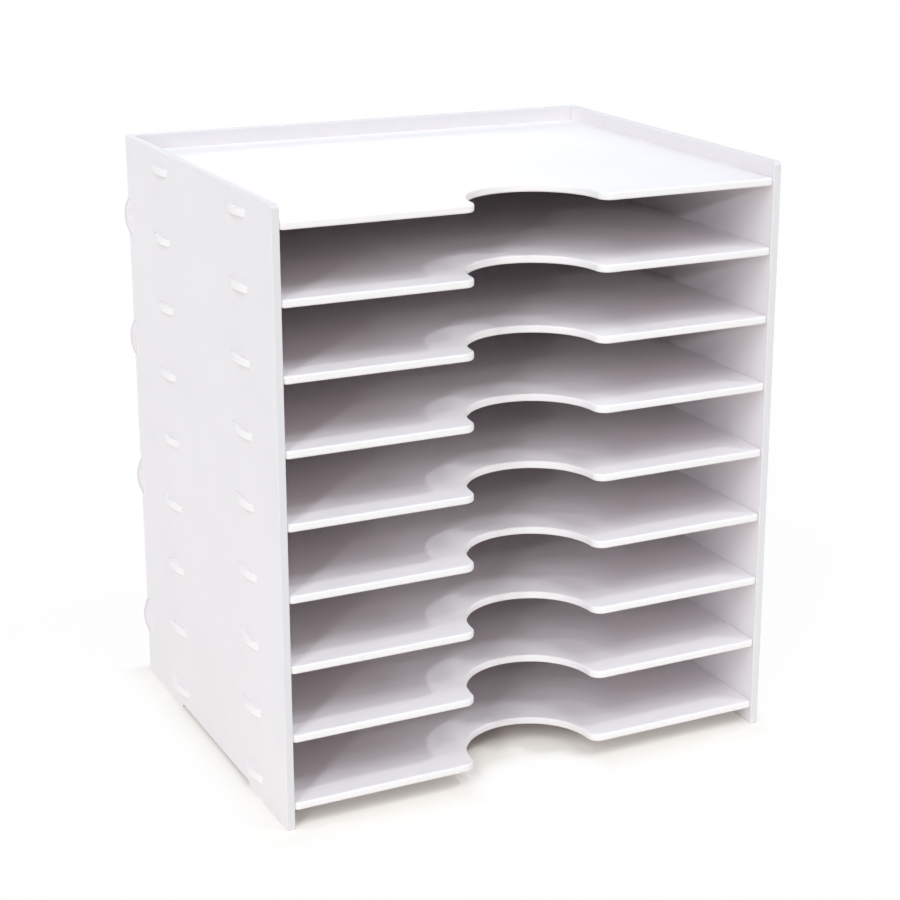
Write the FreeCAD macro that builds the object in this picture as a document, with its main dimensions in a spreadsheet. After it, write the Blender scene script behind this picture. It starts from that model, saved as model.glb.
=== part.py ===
import FreeCAD, Part
import math
import os

import Sketcher

# Desktop paper sorter in white 5 mm expanded-PVC board: two side panels, a back panel and nine
# shelves that make eight open compartments. Nothing is screwed: tabs on the shelves and on the
# back panel push through slots in their neighbours and stand a little proud outside.
#
# Frame: millimetres, +X to the right seen from the front, +Y to the back, +Z up. The origin is
# on the floor, under the middle of the box that holds the whole sorter with its tab ends.

DRIVING_SIZES = {
    # boards
    "board": 5.0,  # thickness of every panel and shelf
    "width": 335.0,  # over the outer faces of the side panels
    "depth": 265.0,  # front edges to the back panel's rear face
    # shelves
    "shelf_count": 9,
    "shelf_pitch": 44.0,
    "base_gap": 12.0,  # floor to the underside of the lowest shelf
    "lip": 10.0,  # how far the panels stand above the top shelf
    "corner_radius": 3.0,  # front corners of shelves and side panels
    # finger notch in each shelf's front edge
    "notch_radius": 41.0,
    "notch_setback": 7.0,  # front edge to the centre of the notch's arc
    "notch_rounding": 8.0,  # where the notch runs out into the front edge
    # tabs and their slots
    "tab_length": 32.0,
    "tab_proud": 3.0,  # height of the curved tab end outside its slot
    "tab_clearance": 0.1,  # slot beyond each end of the tab; across its thickness the fit is tight
    "front_tab_setback": 57.0,  # front edge to the middle of the front side tabs
    "rear_tab_setback": 69.0,  # back panel's rear face to the middle of the rear side tabs
    "rear_tab_spacing": 170.0,  # between the two tabs on a shelf's rear edge
    "back_tab_height": 24.0,  # the back panel's own tabs, four on each side
    "back_tab_low": 43.0,
    "back_tab_lower_middle": 145.0,
    "back_tab_upper_middle": 243.0,
    "back_tab_high": 326.0,
    # feet of the side panels
    "front_foot": 66.0,
    "rear_foot": 70.0,
    "foot_height": 3.0,
}
BACK_TABS = ("back_tab_low", "back_tab_lower_middle", "back_tab_upper_middle", "back_tab_high")

# Sizes that follow from the driving ones, as spreadsheet expressions.
HALF_INSIDE = "(Sizes.width / 2 - Sizes.board)"
SHELF_DEPTH = "(Sizes.depth - Sizes.board)"
TOP_SHELF_LEVEL = "(Sizes.base_gap + (Sizes.shelf_count - 1) * Sizes.shelf_pitch)"
HEIGHT = f"({TOP_SHELF_LEVEL} + Sizes.board + Sizes.lip)"
FRONT_PLANE = "(-(Sizes.depth + Sizes.tab_proud) / 2)"
FRONT_TAB = "Sizes.front_tab_setback"
REAR_TAB = "(Sizes.depth - Sizes.rear_tab_setback)"

doc = FreeCAD.newDocument("paper_sorter")
sheet = doc.addObject("Spreadsheet::Sheet", "Sizes")
for row, (alias, size) in enumerate(DRIVING_SIZES.items(), start=1):
    sheet.set(f"A{row}", alias.replace("_", " "))
    sheet.set(f"B{row}", str(size))
    sheet.setAlias(f"B{row}", alias)
doc.recompute()

# Reference numbers that Sketcher gives the origin and the two axes of a sketch.
ORIGIN = (-1, 1)
X_AXIS = -1
Y_AXIS = -2
START, END, CENTRE = 1, 2, 3


def value_of(formula):
    """Millimetres that an expression on the sheet comes to."""
    return float(sheet.evalExpression(formula.replace("Sizes.", "")))


def origin_feature(body, role):
    return next(item for item in body.Origin.OriginFeatures if item.Role == role)


def new_body(label, x=None, y=None, z=None):
    """An empty body whose placement follows the sheet."""
    body = doc.addObject("PartDesign::Body", label)
    body.Label = label
    for axis, formula in (("x", x), ("y", y), ("z", z)):
        if formula:
            body.setExpression(f"Placement.Base.{axis}", formula)
    return body


def new_sketch(body, name, role):
    sketch = body.newObject("Sketcher::SketchObject", name)
    sketch.AttachmentSupport = (origin_feature(body, role), [""])
    sketch.MapMode = "FlatFace"
    return sketch


def relate(sketch, kind, *references):
    sketch.addConstraint(Sketcher.Constraint(kind, *references))


def dimension(sketch, kind, references, formula):
    """A dimensional constraint bound to an expression on the sheet."""
    index = sketch.addConstraint(Sketcher.Constraint(kind, *references, value_of(formula)))
    sketch.setExpression(f"Constraints[{index}]", formula)


def line(sketch, start, end):
    vectors = [FreeCAD.Vector(x, y, 0) for x, y in (start, end)]
    return sketch.addGeometry(Part.LineSegment(*vectors))


def arc(sketch, centre, radius, start_angle, end_angle):
    """Counter-clockwise arc, angles in degrees."""
    circle = Part.Circle(FreeCAD.Vector(*centre, 0), FreeCAD.Vector(0, 0, 1), radius)
    angles = math.radians(start_angle), math.radians(end_angle)
    return sketch.addGeometry(Part.ArcOfCircle(circle, *angles))


def rectangle(sketch, left, right, bottom, top):
    """Upright rectangle, each side at the place that its expression gives."""
    x0, x1, y0, y1 = (value_of(side) for side in (left, right, bottom, top))
    corners = [(x0, y0), (x1, y0), (x1, y1), (x0, y1)]
    sides = [line(sketch, corners[i], corners[(i + 1) % 4]) for i in range(4)]
    for i, side in enumerate(sides):
        relate(sketch, "Coincident", side, END, sides[(i + 1) % 4], START)
        relate(sketch, "Vertical" if i % 2 else "Horizontal", side)
    dimension(sketch, "DistanceX", (sides[0], START), left)
    dimension(sketch, "DistanceX", (sides[0], END), right)
    dimension(sketch, "DistanceY", (sides[0], START), bottom)
    dimension(sketch, "DistanceY", (sides[2], START), top)


def tab(sketch, root, face, middle, length, along_x=True):
    """Tab from root to face with an end that bulges by tab_proud; it points to +X, or else +Y."""

    def place(out, across):
        return (out, across) if along_x else (across, out)

    inner, outer, centre, half = (value_of(part) for part in (root, face, middle, f"{length} / 2"))
    bulge = f"({length}^2 / 4 + Sizes.tab_proud^2) / (2 * Sizes.tab_proud)"
    radius = value_of(bulge)
    spread = math.degrees(math.asin(half / radius))
    heading = 0 if along_x else 90
    low, high = centre - half, centre + half
    bottom = line(sketch, place(inner, low), place(outer, low))
    top = line(sketch, place(outer, high), place(inner, high))
    base = line(sketch, place(inner, high), place(inner, low))
    arc_centre = place(outer - math.sqrt(radius**2 - half**2), centre)
    end = arc(sketch, arc_centre, radius, heading - spread, heading + spread)
    first, last = (START, END) if along_x else (END, START)
    relate(sketch, "Coincident", bottom, END, end, first)
    relate(sketch, "Coincident", end, last, top, START)
    relate(sketch, "Coincident", top, END, base, START)
    relate(sketch, "Coincident", base, END, bottom, START)
    for side in (bottom, top):
        relate(sketch, "Horizontal" if along_x else "Vertical", side)
    relate(sketch, "Vertical" if along_x else "Horizontal", base)
    out, across = ("DistanceX", "DistanceY") if along_x else ("DistanceY", "DistanceX")
    dimension(sketch, out, (bottom, START), root)
    dimension(sketch, out, (bottom, END), face)
    dimension(sketch, out, (top, START), face)
    dimension(sketch, across, (bottom, START), f"{middle} - {length} / 2")
    dimension(sketch, across, (top, START), f"{middle} + {length} / 2")
    dimension(sketch, "Radius", (end,), bulge)


def pad(body, sketch, name, reverse=False):
    """Raises a sketch by one board's thickness."""
    feature = body.newObject("PartDesign::Pad", name)
    feature.Profile = sketch
    feature.Reversed = reverse
    feature.setExpression("Length", "Sizes.board")
    body.Tip = feature
    doc.recompute()
    return feature


def cut_through(body, sketch, name):
    """Pockets a sketch through the board, both ways, and makes sure that it took material."""
    before = body.Shape.Volume
    feature = body.newObject("PartDesign::Pocket", name)
    feature.Profile = sketch
    feature.Type = "ThroughAll"
    feature.Midplane = True
    body.Tip = feature
    doc.recompute()
    assert body.Shape.Volume < before, f"{body.Label}: {name} cut nothing"
    return feature


def mirror(body, feature, name):
    copy = body.newObject("PartDesign::Mirrored", name)
    copy.Originals = [feature]
    copy.MirrorPlane = (origin_feature(body, "YZ_Plane"), [""])
    body.Tip = copy
    doc.recompute()


def repeat_up(body, feature, name):
    """One copy of a feature for each shelf, a pitch apart."""
    pattern = body.newObject("PartDesign::LinearPattern", name)
    pattern.Originals = [feature]
    pattern.Direction = (origin_feature(body, "Z_Axis"), [""])
    pattern.setExpression("Length", "(Sizes.shelf_count - 1) * Sizes.shelf_pitch")
    pattern.setExpression("Occurrences", "Sizes.shelf_count")
    body.Tip = pattern
    doc.recompute()


def shelf_outline(sketch):
    """Board outline seen from above: front edge on the X axis, finger notch in its middle."""
    half, depth = value_of(HALF_INSIDE), value_of(SHELF_DEPTH)
    corner = value_of("Sizes.corner_radius")
    notch, rounding = value_of("Sizes.notch_radius"), value_of("Sizes.notch_rounding")
    setback = value_of("Sizes.notch_setback")
    # The rounding touches the front edge at run_out, and the notch's arc at the lean angle.
    run_out = math.sqrt((notch + rounding) ** 2 - (setback - rounding) ** 2)
    lean = math.degrees(math.atan2(rounding - setback, run_out))

    front_left = line(sketch, (corner - half, 0), (-run_out, 0))
    round_left = arc(sketch, (-run_out, rounding), rounding, -90, -lean)
    hollow = arc(sketch, (0, setback), notch, lean, 180 - lean)
    round_right = arc(sketch, (run_out, rounding), rounding, 180 + lean, 270)
    front_right = line(sketch, (run_out, 0), (half - corner, 0))
    corner_right = arc(sketch, (half - corner, corner), corner, -90, 0)
    right = line(sketch, (half, corner), (half, depth))
    rear = line(sketch, (half, depth), (-half, depth))
    left = line(sketch, (-half, depth), (-half, corner))
    corner_left = arc(sketch, (corner - half, corner), corner, 180, 270)

    relate(sketch, "Tangent", front_left, END, round_left, START)
    relate(sketch, "Tangent", round_left, END, hollow, END)
    relate(sketch, "Tangent", hollow, START, round_right, START)
    relate(sketch, "Tangent", round_right, END, front_right, START)
    relate(sketch, "Tangent", front_right, END, corner_right, START)
    relate(sketch, "Tangent", corner_right, END, right, START)
    relate(sketch, "Coincident", right, END, rear, START)
    relate(sketch, "Coincident", rear, END, left, START)
    relate(sketch, "Tangent", left, END, corner_left, START)
    relate(sketch, "Tangent", corner_left, END, front_left, START)
    relate(sketch, "PointOnObject", front_left, START, X_AXIS)
    relate(sketch, "PointOnObject", front_right, END, X_AXIS)
    relate(sketch, "Horizontal", front_left)
    relate(sketch, "Horizontal", front_right)
    relate(sketch, "Vertical", right)
    relate(sketch, "Vertical", left)
    relate(sketch, "Symmetric", rear, START, rear, END, Y_AXIS)
    relate(sketch, "PointOnObject", hollow, CENTRE, Y_AXIS)
    relate(sketch, "Equal", round_left, round_right)
    relate(sketch, "Equal", corner_left, corner_right)
    dimension(sketch, "DistanceX", (rear, START), HALF_INSIDE)
    dimension(sketch, "DistanceY", (rear, START), SHELF_DEPTH)
    dimension(sketch, "DistanceY", (*ORIGIN, hollow, CENTRE), "Sizes.notch_setback")
    dimension(sketch, "Radius", (hollow,), "Sizes.notch_radius")
    dimension(sketch, "Radius", (round_right,), "Sizes.notch_rounding")
    dimension(sketch, "Radius", (corner_right,), "Sizes.corner_radius")


def make_shelf(label, level):
    """One shelf, counted from 0 at the bottom, with two tabs on each side and two at the rear."""
    height = f"Sizes.base_gap + {level} * Sizes.shelf_pitch"
    body = new_body(label, y=FRONT_PLANE, z=height)
    outline = new_sketch(body, f"{label}_outline", "XY_Plane")
    shelf_outline(outline)
    pad(body, outline, f"{label}_board")

    side_tabs = new_sketch(body, f"{label}_side_tabs_outline", "XY_Plane")
    root, face = f"{HALF_INSIDE} - Sizes.board", "Sizes.width / 2"
    for middle in (FRONT_TAB, REAR_TAB):
        tab(side_tabs, root, face, middle, "Sizes.tab_length")
    right_tabs = pad(body, side_tabs, f"{label}_right_tabs")
    mirror(body, right_tabs, f"{label}_left_tabs")

    rear_tab = new_sketch(body, f"{label}_rear_tab_outline", "XY_Plane")
    root, face = f"{SHELF_DEPTH} - Sizes.board", "Sizes.depth"
    tab(rear_tab, root, face, "Sizes.rear_tab_spacing / 2", "Sizes.tab_length", along_x=False)
    right_rear_tab = pad(body, rear_tab, f"{label}_right_rear_tab")
    mirror(body, right_rear_tab, f"{label}_left_rear_tab")
    return body


def side_outline(sketch):
    """Side panel seen from the right: front edge on the vertical axis, feet on the horizontal."""
    depth, height = value_of("Sizes.depth"), value_of(HEIGHT)
    front, rear = value_of("Sizes.front_foot"), depth - value_of("Sizes.rear_foot")
    lift, corner = value_of("Sizes.foot_height"), value_of("Sizes.corner_radius")
    corners = [
        (0, 0),
        (front, 0),
        (front, lift),
        (rear, lift),
        (rear, 0),
        (depth, 0),
        (depth, height),
        (corner, height),
    ]
    edges = [line(sketch, corners[i], corners[i + 1]) for i in range(len(corners) - 1)]
    front_foot, front_step, arch, rear_step, rear_foot, rear_edge, top = edges
    top_corner = arc(sketch, (corner, height - corner), corner, 90, 180)
    front_edge = line(sketch, (0, height - corner), (0, 0))
    for edge, following in zip(edges, edges[1:]):
        relate(sketch, "Coincident", edge, END, following, START)
    relate(sketch, "Tangent", top, END, top_corner, START)
    relate(sketch, "Tangent", top_corner, END, front_edge, START)
    relate(sketch, "Coincident", front_edge, END, front_foot, START)
    relate(sketch, "Coincident", front_foot, START, *ORIGIN)
    relate(sketch, "PointOnObject", rear_foot, START, X_AXIS)
    for edge in (front_foot, arch, rear_foot, top):
        relate(sketch, "Horizontal", edge)
    for edge in (front_step, rear_step, rear_edge, front_edge):
        relate(sketch, "Vertical", edge)
    dimension(sketch, "DistanceX", (front_foot, END), "Sizes.front_foot")
    dimension(sketch, "DistanceY", (arch, START), "Sizes.foot_height")
    dimension(sketch, "DistanceX", (rear_foot, START), "Sizes.depth - Sizes.rear_foot")
    dimension(sketch, "DistanceX", (rear_foot, END), "Sizes.depth")
    dimension(sketch, "DistanceY", (top, START), HEIGHT)
    dimension(sketch, "Radius", (top_corner,), "Sizes.corner_radius")


def shelf_slot(sketch, middle):
    """Slot for one shelf tab, which is pushed in tight and has a little room at its ends."""
    reach = "(Sizes.tab_length / 2 + Sizes.tab_clearance)"
    bottom, top = "Sizes.base_gap", "Sizes.base_gap + Sizes.board"
    rectangle(sketch, f"{middle} - {reach}", f"{middle} + {reach}", bottom, top)


def make_side_panel(label, x):
    """Left and right panels are one shape, each with 18 shelf slots and 4 notches at the rear."""
    body = new_body(label, x=x, y=FRONT_PLANE)
    outline = new_sketch(body, f"{label}_outline", "YZ_Plane")
    side_outline(outline)
    pad(body, outline, f"{label}_board")

    slots = new_sketch(body, f"{label}_slot_outline", "YZ_Plane")
    for middle in (FRONT_TAB, REAR_TAB):
        shelf_slot(slots, middle)
    lowest_slots = cut_through(body, slots, f"{label}_lowest_slots")
    repeat_up(body, lowest_slots, f"{label}_slots")

    notches = new_sketch(body, f"{label}_notch_outline", "YZ_Plane")
    reach = "(Sizes.back_tab_height / 2 + Sizes.tab_clearance)"
    for tab_name in BACK_TABS:
        bottom, top = f"Sizes.{tab_name} - {reach}", f"Sizes.{tab_name} + {reach}"
        rectangle(notches, SHELF_DEPTH, "Sizes.depth + Sizes.board", bottom, top)
    cut_through(body, notches, f"{label}_rear_notches")
    return body


def make_back_panel(label):
    """Stands between the side panels, flush with their rear edges and clear of the floor."""
    body = new_body(label, y=f"{FRONT_PLANE} + {SHELF_DEPTH}")
    outline = new_sketch(body, f"{label}_outline", "XZ_Plane")
    rectangle(outline, f"-{HALF_INSIDE}", HALF_INSIDE, "Sizes.foot_height", HEIGHT)
    pad(body, outline, f"{label}_board", reverse=True)

    tabs = new_sketch(body, f"{label}_tab_outline", "XZ_Plane")
    root, face = f"{HALF_INSIDE} - Sizes.board", "Sizes.width / 2"
    for tab_name in BACK_TABS:
        tab(tabs, root, face, f"Sizes.{tab_name}", "Sizes.back_tab_height")
    right_tabs = pad(body, tabs, f"{label}_right_tabs", reverse=True)
    mirror(body, right_tabs, f"{label}_left_tabs")

    slots = new_sketch(body, f"{label}_slot_outline", "XZ_Plane")
    for side in ("-", ""):
        shelf_slot(slots, f"{side}Sizes.rear_tab_spacing / 2")
    lowest_slots = cut_through(body, slots, f"{label}_lowest_slots")
    repeat_up(body, lowest_slots, f"{label}_slots")
    return body


pieces = [
    make_side_panel("side_panel_left", "-Sizes.width / 2"),
    make_side_panel("side_panel_right", "Sizes.width / 2 - Sizes.board"),
    make_back_panel("back_panel"),
]
top_level = DRIVING_SIZES["shelf_count"] - 1
pieces += [make_shelf(f"shelf_{level + 1}", level) for level in range(top_level)]
pieces.append(make_shelf("top_shelf", top_level))
doc.recompute()

for item in doc.Objects:
    assert not {"Invalid", "Error"} & set(item.State), f"{item.Label}: {item.State}"
    if item.isDerivedFrom("Sketcher::SketchObject"):
        assert item.FullyConstrained, f"{item.Label} is not fully constrained"
for piece in pieces:
    shape = piece.Shape
    assert not shape.isNull() and shape.isValid(), f"{piece.Label}: bad shape"
    assert len(shape.Solids) == 1, f"{piece.Label}: {len(shape.Solids)} solids"

os.makedirs("parts", exist_ok=True)
for piece in pieces:
    piece.Shape.exportStep(f"parts/{piece.Label}.step")
    box = piece.Shape.BoundBox
    reach = ", ".join(f"{low:.1f} to {high:.1f}" for low, high in (
        (box.XMin, box.XMax), (box.YMin, box.YMax), (box.ZMin, box.ZMax)))
    print(f"{piece.Label}: {reach}, {piece.Shape.Volume / 1000:.1f} cm3")
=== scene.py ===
import math

import bpy
from mathutils import Matrix, Vector


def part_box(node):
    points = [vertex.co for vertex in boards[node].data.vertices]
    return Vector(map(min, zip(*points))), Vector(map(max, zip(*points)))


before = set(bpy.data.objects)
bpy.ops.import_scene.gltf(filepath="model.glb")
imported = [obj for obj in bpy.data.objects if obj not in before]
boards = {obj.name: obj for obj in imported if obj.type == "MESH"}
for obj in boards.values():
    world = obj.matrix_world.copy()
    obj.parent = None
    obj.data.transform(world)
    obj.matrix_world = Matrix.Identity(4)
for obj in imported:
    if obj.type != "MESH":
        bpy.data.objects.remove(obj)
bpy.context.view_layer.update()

# ---------------------------------------------------------------- side panels
# Two upright boards of white expanded-PVC foam, 5 mm thick, routed to shape with a row of slots
# for the shelf tabs. Their skin is smooth and matt, the cut edges show the foam's fine cells,
# and every edge is broken a little so that it doesn't cut. The cut edges are coloured darker
# than the skin, partly for the routed foam and partly as painted shade on the front edges.

SKIN_COLOUR = (0.884, 0.821, 0.839, 1)
SKIN_CLOUD_COLOUR = (0.872, 0.810, 0.828, 1)
# Darker partly for the routed foam and partly as painted shade on the panels' front edges.
ROUTED_EDGE_AND_SHADE_COLOUR = (0.775, 0.730, 0.744, 1)
# Painted shade: the cells' pits on the cut edges are coloured this much darker.
CELL_PAINTED_SHADE = 0.93
SHINE = 0.3
SKIN_ROUGHNESS = 0.44
CLOUD_ROUGHNESS = 0.08
CUT_ROUGHNESS = 0.6
MARK_ROUGHNESS = 0.1
# Between these shares of facing straight out, a rounded edge goes over from cut foam to skin.
SKIN_STARTS = (0.35, 0.9)
# Each noise: how many lumps to the metre, and how many finer layers lie on them.
CLOUDS = (16, 4)
EGGSHELL = (330, 1)
GRAIN = (1500, 2)
CUTTER_MARKS = (900, 1)
CLOUD_SPREAD = (0.35, 0.7)
MARK_STRETCH = 0.94
CELLS_PER_METRE = 2400
CELL_WALL = (0.1, 0.42)
# How high the texture stands, and what share of that each part of it has.
TEXTURE_HEIGHT = 0.00004
EGGSHELL_SHARE = 0.55
GRAIN_SHARE = 0.15
MARK_SHARE = 0.6
PIT_SHARE = 0.5
PANEL_EDGE_RADIUS = 0.0005
OUTLINE_REACH = 0.004
SHARP_ANGLE = math.radians(35)
FLAT_ANGLE = math.radians(0.5)
WELD_REACH = 1e-6
LEAST_SHARE = 0.01
BEVEL_STEPS = 3


class Shade:
    """A node's output. Arithmetic on it adds Math nodes, and node() adds any other node."""

    def __init__(self, socket):
        self.socket = socket

    def node(self, kind, settings=(), inputs=(), output=0):
        """Adds a node: its settings first, then a number, a vector or a Shade for each socket."""
        tree = self.socket.id_data
        made = tree.nodes.new(kind)
        for name, setting in dict(settings).items():
            setattr(made, name, setting)
        for name, value in dict(inputs).items():
            socket = next(s for s in made.inputs if s.enabled and name in (s.name, s.identifier))
            if isinstance(value, Shade):
                tree.links.new(value.socket, socket)
            else:
                socket.default_value = value
        shown = [s for s in made.outputs if s.enabled]
        return Shade(shown[output] if isinstance(output, int) else made.outputs[output])

    def math(self, operation, *values):
        sockets = dict(zip(("Value", "Value_001"), values))
        return self.node("ShaderNodeMath", {"operation": operation}, sockets)

    def __add__(self, other):
        return self.math("ADD", self, other)

    def __radd__(self, other):
        return self.math("ADD", other, self)

    def __sub__(self, other):
        return self.math("SUBTRACT", self, other)

    def __rsub__(self, other):
        return self.math("SUBTRACT", other, self)

    def __mul__(self, other):
        return self.math("MULTIPLY", self, other)

    def __rmul__(self, other):
        return self.math("MULTIPLY", other, self)

    def __abs__(self):
        return self.math("ABSOLUTE", self)

    def above(self, limit):
        return self.math("GREATER_THAN", self, limit)

    def below(self, limit):
        return self.math("LESS_THAN", self, limit)

    def larger(self, other):
        return self.math("MAXIMUM", self, other)

    def rise(self, start, end):
        """Goes smoothly from 0 at start to 1 at end."""
        sockets = {"Value": self, "From Min": start, "From Max": end}
        return self.node("ShaderNodeMapRange", {"interpolation_type": "SMOOTHSTEP"}, sockets)

    def vector(self, operation, first, second, output=0):
        sockets = {"Vector": first, "Vector_001": second}
        return self.node("ShaderNodeVectorMath", {"operation": operation}, sockets, output)

    def split(self):
        """The x, y and z of a place."""
        axes = self.node("ShaderNodeSeparateXYZ", {}, {"Vector": self}).socket.node.outputs
        return [Shade(axes[axis]) for axis in "XYZ"]

    def noise(self, per_metre, detail):
        sockets = {"Vector": self, "Scale": per_metre, "Detail": detail}
        return self.node("ShaderNodeTexNoise", {}, sockets)

    def blend(self, first, second):
        """Colour between first, where this is 0, and second, where it is 1."""
        sockets = {"Factor": self, "A_Color": first, "B_Color": second}
        return self.node("ShaderNodeMix", {"data_type": "RGBA"}, sockets)


def darker(colour, tone):
    """The colour with its red, green and blue multiplied by the tone."""
    return tuple(tone * part for part in colour[:3]) + (1,)


def foam_board(name, across, cut_edge_colour, tone=1.0):
    """Finish of one board; across is the direction through its thickness."""
    material = bpy.data.materials.new(name)
    material.use_nodes = True
    tree = material.node_tree
    shader = tree.nodes["Principled BSDF"]
    shader.inputs["Specular IOR Level"].default_value = SHINE
    start = Shade(shader.outputs[0])
    position = start.node("ShaderNodeTexCoord", output="Object")
    normal = start.node("ShaderNodeTexCoord", output="Normal")

    # The skin lies on the two faces across the thickness, and everything else is a cut edge.
    facing = abs(normal.vector("DOT_PRODUCT", normal, across, "Value"))
    skin = facing.rise(*SKIN_STARTS)
    cut = 1 - skin

    # Skin: slow clouds of tone, an eggshell texture a few millimetres wide and a finer grain.
    cloud = position.noise(*CLOUDS).rise(*CLOUD_SPREAD)
    eggshell = position.noise(*EGGSHELL)
    grain = position.noise(*GRAIN)

    # Cut edge: cutter marks that run through the thickness, over the foam's small closed cells.
    along_edge = [1.0 - MARK_STRETCH * part for part in across]
    marks = position.vector("MULTIPLY", position, along_edge).noise(*CUTTER_MARKS)
    cells = position.node(
        "ShaderNodeTexVoronoi", {}, {"Vector": position, "Scale": CELLS_PER_METRE}
    )
    pits = (1 - cells.rise(*CELL_WALL)) * cut

    skin_colour = cloud.blend(darker(SKIN_COLOUR, tone), darker(SKIN_CLOUD_COLOUR, tone))
    # The cells' pits are coloured darker as painted shade.
    cut_colour = pits.blend(cut_edge_colour, darker(cut_edge_colour, CELL_PAINTED_SHADE))
    colour = cut.blend(skin_colour, cut_colour)
    skin_roughness = cloud * CLOUD_ROUGHNESS + SKIN_ROUGHNESS
    cut_roughness = marks * MARK_ROUGHNESS + CUT_ROUGHNESS
    roughness = skin * skin_roughness + cut * cut_roughness
    skin_height = eggshell * EGGSHELL_SHARE + grain * GRAIN_SHARE
    height = skin * skin_height + cut * (marks * MARK_SHARE) - pits * PIT_SHARE
    bump = height.node(
        "ShaderNodeBump", {}, {"Height": height, "Strength": 1.0, "Distance": TEXTURE_HEIGHT}
    )
    tree.links.new(colour.socket, shader.inputs["Base Color"])
    tree.links.new(roughness.socket, shader.inputs["Roughness"])
    tree.links.new(bump.socket, shader.inputs["Normal"])
    return material


def round_edges(board, widest, share):
    """Rounds a board's sharp edges. share(mesh) says how much of the widest radius each gets."""
    weld = board.modifiers.new("weld", "WELD")
    weld.merge_threshold = WELD_REACH
    flat = board.modifiers.new("flat_faces", "DECIMATE")
    flat.decimate_type = "DISSOLVE"
    flat.angle_limit = FLAT_ANGLE

    tree = bpy.data.node_groups.new(f"{board.name}_edges", "GeometryNodeTree")
    tree.interface.new_socket("Geometry", in_out="INPUT", socket_type="NodeSocketGeometry")
    tree.interface.new_socket("Geometry", in_out="OUTPUT", socket_type="NodeSocketGeometry")
    mesh = Shade(tree.nodes.new("NodeGroupInput").outputs[0])
    sharp = mesh.node("GeometryNodeInputMeshEdgeAngle").above(SHARP_ANGLE)
    part = share(mesh)
    weight = sharp * part
    smooth = 1 - sharp * part.below(LEAST_SHARE)
    for kind, choice in (("FACE", 1), ("EDGE", smooth)):
        mesh = mesh.node(
            "GeometryNodeSetShadeSmooth", {"domain": kind}, {"Geometry": mesh, "Shade Smooth": choice}
        )
    mesh = mesh.node(
        "GeometryNodeRemoveAttribute", {}, {"Geometry": mesh, "Name": "custom_normal"}
    )
    mesh = mesh.node(
        "GeometryNodeStoreNamedAttribute",
        {"domain": "EDGE", "data_type": "FLOAT"},
        {"Geometry": mesh, "Name": "bevel_weight_edge", "Value": weight},
    )
    result = tree.nodes.new("NodeGroupOutput")
    tree.links.new(mesh.socket, result.inputs[0])
    weigh = board.modifiers.new("edge_weights", "NODES")
    weigh.node_group = tree

    bevel = board.modifiers.new("rounded_edges", "BEVEL")
    bevel.limit_method = "WEIGHT"
    bevel.width = widest
    bevel.segments = BEVEL_STEPS
    bevel.use_clamp_overlap = False
    bevel.harden_normals = True
    bevel.miter_outer = "MITER_SHARP"
    bevel.loop_slide = False


def panel_outline(mesh):
    """The panel's own outline, and not the slots, whose edges are left crisp round the tabs."""
    x, y, z = mesh.node("GeometryNodeInputPosition").split()
    low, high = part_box("side_panel_left")
    ends = y.below(low.y + OUTLINE_REACH) + y.above(high.y - OUTLINE_REACH)
    ends = ends + z.below(low.z + OUTLINE_REACH) + z.above(high.z - OUTLINE_REACH)
    return ends.above(0)


side_finish = foam_board("side_board", (1, 0, 0), ROUTED_EDGE_AND_SHADE_COLOUR)
for name in ("side_panel_left", "side_panel_right"):
    round_edges(boards[name], PANEL_EDGE_RADIUS, panel_outline)
    boards[name].material_slots[0].material = side_finish

# ---------------------------------------------------------------- back panel
# The same foam board between the side panels, with four tabs in notches at each of their rear
# edges, and slots for the rear tabs of all nine shelves. Its colour is darkened as painted shade,
# which dims its lip above the tray and the back of each compartment.

# Painted shade: the back panel's colours are multiplied by this.
BACK_PAINTED_SHADE = 0.94


def back_outline(mesh):
    """The back panel's outline with its tabs, and not the slots inside it."""
    x, y, z = mesh.node("GeometryNodeInputPosition").split()
    low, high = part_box("back_panel")
    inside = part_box("side_panel_right")[0].x
    ends = abs(x).above(inside - OUTLINE_REACH) + z.below(low.z + OUTLINE_REACH)
    ends = ends + z.above(high.z - OUTLINE_REACH)
    return ends.above(0)


round_edges(boards["back_panel"], PANEL_EDGE_RADIUS, back_outline)
back_finish = foam_board("back_board", (0, 1, 0), ROUTED_EDGE_AND_SHADE_COLOUR, BACK_PAINTED_SHADE)
boards["back_panel"].material_slots[0].material = back_finish

# ---------------------------------------------------------------- shelves
# Nine shelves of the same board, the top one being the floor of the tray on top. Their cut edges
# are coloured whiter than the panels', partly for their polish and partly as a painted highlight
# on the front edges and tab ends, and are rounded widest along the front and in the finger
# notch, where hands and paper pass. The tab ends stand proud of the panels, rounded as well.

FRONT_EDGE_RADIUS = 0.0013
TAB_EDGE_SHARE = 0.6
OTHER_EDGE_SHARE = 0.2
NOTCH_DEPTH = 0.048
PAST_NOTCH = 0.001
PAST_FACE = 0.0002
# Whiter partly for the polished edges and partly as a painted highlight on front edges and tab ends.
POLISHED_EDGE_AND_HIGHLIGHT_COLOUR = (0.930, 0.864, 0.868, 1)


def shelf_edges(mesh):
    """Widest along the front with its notch and corners, less at the tab ends, least elsewhere."""
    x, y, z = mesh.node("GeometryNodeInputPosition").split()
    panel_low, panel_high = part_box("side_panel_right")
    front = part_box("shelf_1")[0].y
    back_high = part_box("back_panel")[1]
    in_front = y.below(front + NOTCH_DEPTH + PAST_NOTCH)
    front_edge = in_front * abs(x).below(panel_low.x + PAST_FACE)
    tab_ends = abs(x).above(panel_high.x + PAST_FACE) + y.above(back_high.y + PAST_FACE)
    extra = front_edge * (1 - OTHER_EDGE_SHARE) + tab_ends * (TAB_EDGE_SHARE - OTHER_EDGE_SHARE)
    return extra + OTHER_EDGE_SHARE


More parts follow.
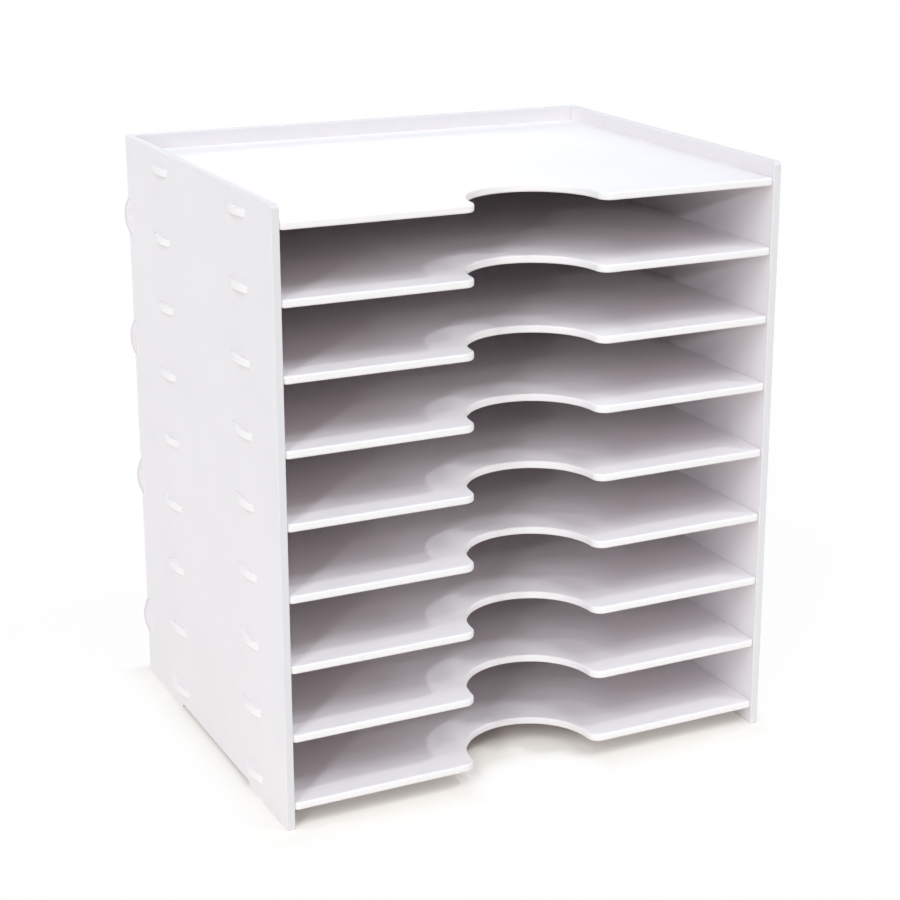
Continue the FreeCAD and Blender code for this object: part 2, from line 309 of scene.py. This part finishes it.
shelf_finish = foam_board("shelf_board", (0, 0, 1), POLISHED_EDGE_AND_HIGHLIGHT_COLOUR)
for name, board in boards.items():
    if "shelf" in name:
        round_edges(board, FRONT_EDGE_RADIUS, shelf_edges)
        board.material_slots[0].material = shelf_finish

# ---------------------------------------------------------------- floor
# The sorter stands on a large plain sheet of white paper. A glow makes the sheet white a little
# way off: painted light over the sheet's shadow, with its border shaped so that the shadow shows
# only under and close beside the sorter, widest at the left and in front.

SHEET_REACH = 9
SHEET_COLOUR = (0.924, 0.855, 0.796, 1)
SHEET_ROUGHNESS = 0.8
SHEET_GLOW = 0.95
# Metres out from each side, and from the middle of the notch: where the painted white starts to
# cover the shadow, and where only white is left.
SHADE_LEFT = (-0.020, 0.026)
SHADE_LEFT_FOOT = (-0.004, 0.001)
SHADE_FRONT = (-0.004, 0.026)
SHADE_RIGHT = (-0.006, 0.014)
SHADE_REAR = (-0.006, 0.014)
SHADE_NOTCH = (0.061, 0.040)
NOTCH_SHIFT = 0.025
# From under the lowest shelf's front edge outwards, painted light lightens the shadow a little.
UNDER_FRONT = (-0.050, -0.012)
UNDER_SHELF_PAINTED_LIGHT = 0.17


def seen_or_reflected(start):
    """1 for the camera, for gloss and for what is seen through glass, and 0 for light."""
    path = start.node("ShaderNodeLightPath", output="Is Camera Ray").socket.node
    seen, gloss, glass = [
        Shade(path.outputs[f"Is {kind} Ray"]) for kind in ("Camera", "Glossy", "Transmission")
    ]
    return seen.larger(gloss).larger(glass)


def painted_white_over_shadow(start):
    """0 where the sheet keeps its shadow, and 1 where it is far enough off to be painted white."""
    position = start.node("ShaderNodeTexCoord", output="Object")
    x, y = position.split()[:2]
    low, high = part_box("side_panel_right")
    left = -1 * x - high.x
    right = x - high.x
    before = low.y - y
    behind = y - high.y
    notch_middle = (0, low.y - NOTCH_SHIFT, 0)
    notch = position.vector("DISTANCE", position, notch_middle, "Value")
    clear = left.rise(*SHADE_LEFT) * left.rise(*SHADE_LEFT_FOOT)
    clear = clear.larger(before.rise(*SHADE_FRONT))
    clear = clear.larger(right.rise(*SHADE_RIGHT))
    clear = clear.larger(behind.rise(*SHADE_REAR))
    clear = clear.larger(notch.rise(*SHADE_NOTCH))
    return clear.larger(before.rise(*UNDER_FRONT) * UNDER_SHELF_PAINTED_LIGHT)


corners = [(-1, -1), (1, -1), (1, 1), (-1, 1)]
floor_mesh = bpy.data.meshes.new("floor")
floor_mesh.from_pydata([(SHEET_REACH * x, SHEET_REACH * y, 0) for x, y in corners], [], [(0, 1, 2, 3)])
floor = bpy.data.objects.new("floor", floor_mesh)
bpy.context.scene.collection.objects.link(floor)
sheet = bpy.data.materials.new("white_sheet")
sheet.use_nodes = True
matt = sheet.node_tree.nodes["Principled BSDF"]
matt.inputs["Base Color"].default_value = SHEET_COLOUR
matt.inputs["Roughness"].default_value = SHEET_ROUGHNESS
paper = Shade(matt.outputs[0])
glow = paper.node("ShaderNodeEmission", {}, {"Color": (1, 1, 1, 1), "Strength": 1.0})
# Painted light: the glow covers the sheet's own shadow away from the sorter.
whiteness = seen_or_reflected(paper) * painted_white_over_shadow(paper) * SHEET_GLOW
sheet_look = paper.node(
    "ShaderNodeMixShader", {}, {"Fac": whiteness, "Shader": paper, "Shader_001": glow}
)
sheet_surface = sheet.node_tree.nodes["Material Output"].inputs["Surface"]
sheet.node_tree.links.new(sheet_look.socket, sheet_surface)
floor_mesh.materials.append(sheet)

# ---------------------------------------------------------------- room and lamps
# A dim room with a white background, and lamps of different width all round, most of them in
# front. The narrow ones give the crisp shadows inside the compartments, the wide ones fill.

ROOM_STRENGTH = 0.185
LAMP_COLOUR = (0.922, 1.012, 1.045)
LAMP_DISTANCE = 2
AIM_HEIGHT = 0.19
# Each lamp: degrees round from the front (+ towards the right), degrees up, strength, width.
LAMPS = {
    "low_left": (-45, 14, 0.12, 2),
    "left_lower": (-45, 22, 0.066, 3),
    "left_upper": (-45, 31, 0.08, 4),
    "front_left": (-45, 39, 0.10, 5),
    "left_high": (-54, 51, 0.12, 4),
    "left_side": (-82, 12, 0.07, 14),
    "high_left": (-95, 62, 0.15, 12),
    "front_high": (0, 55, 0.155, 12),
    "top": (0, 75, 0.05, 12),
    "right_high": (52, 57, 0.205, 3),
    "right_low": (50, 40, 0.08, 20),
    "right_side": (98, 24, 0.12, 16),
    "behind": (165, 15, 0.145, 24),
}

world = bpy.data.worlds.new("studio")
bpy.context.scene.world = world
world.use_nodes = True
background = world.node_tree.nodes["Background"]
background.inputs["Color"].default_value = (*LAMP_COLOUR, 1)
background.inputs["Strength"].default_value = ROOM_STRENGTH
room = Shade(background.outputs[0])
white = room.node("ShaderNodeBackground", {}, {"Color": (1, 1, 1, 1), "Strength": 1.0})
room_look = room.node(
    "ShaderNodeMixShader",
    {},
    {"Fac": seen_or_reflected(room), "Shader": room, "Shader_001": white},
)
world_surface = world.node_tree.nodes["World Output"].inputs["Surface"]
world.node_tree.links.new(room_look.socket, world_surface)

for name, (around, up, strength, width) in LAMPS.items():
    lamp = bpy.data.lights.new(name, "SUN")
    lamp.color = LAMP_COLOUR
    lamp.energy = math.pi * strength
    lamp.angle = math.radians(width)
    turned = math.radians(around)
    raised = math.radians(up)
    towards = Vector((math.sin(turned), -math.cos(turned), math.tan(raised))).normalized()
    stand = bpy.data.objects.new(name, lamp)
    stand.location = Vector((0, 0, AIM_HEIGHT)) + towards * LAMP_DISTANCE
    stand.rotation_euler = towards.to_track_quat("Z", "Y").to_euler()
    bpy.context.scene.collection.objects.link(stand)

# ---------------------------------------------------------------- camera
# A long lens in front of the sorter, to its left and a little above it, with its shift set a
# little to the left and down, so that the sorter stands in the middle of the view.

CAMERA_PLACE = (-0.5566, -1.1751, 0.5927)
YAW = math.radians(28.136)
PITCH = math.radians(16.720)
ROLL = math.radians(0.617)
LENS = 82.14
SHIFT_ACROSS = -0.10
SHIFT_UP = -0.04

camera = bpy.data.objects.new("camera", bpy.data.cameras.new("camera"))
camera.data.lens = LENS
camera.data.shift_x = SHIFT_ACROSS
camera.data.shift_y = SHIFT_UP
turn = (
    Matrix.Rotation(-YAW, 4, "Z")
    @ Matrix.Rotation(math.pi / 2 - PITCH, 4, "X")
    @ Matrix.Rotation(ROLL, 4, "Z")
)
camera.matrix_world = Matrix.Translation(CAMERA_PLACE) @ turn
bpy.context.scene.collection.objects.link(camera)
bpy.context.scene.camera = camera
bpy.context.scene.view_settings.view_transform = "Standard"
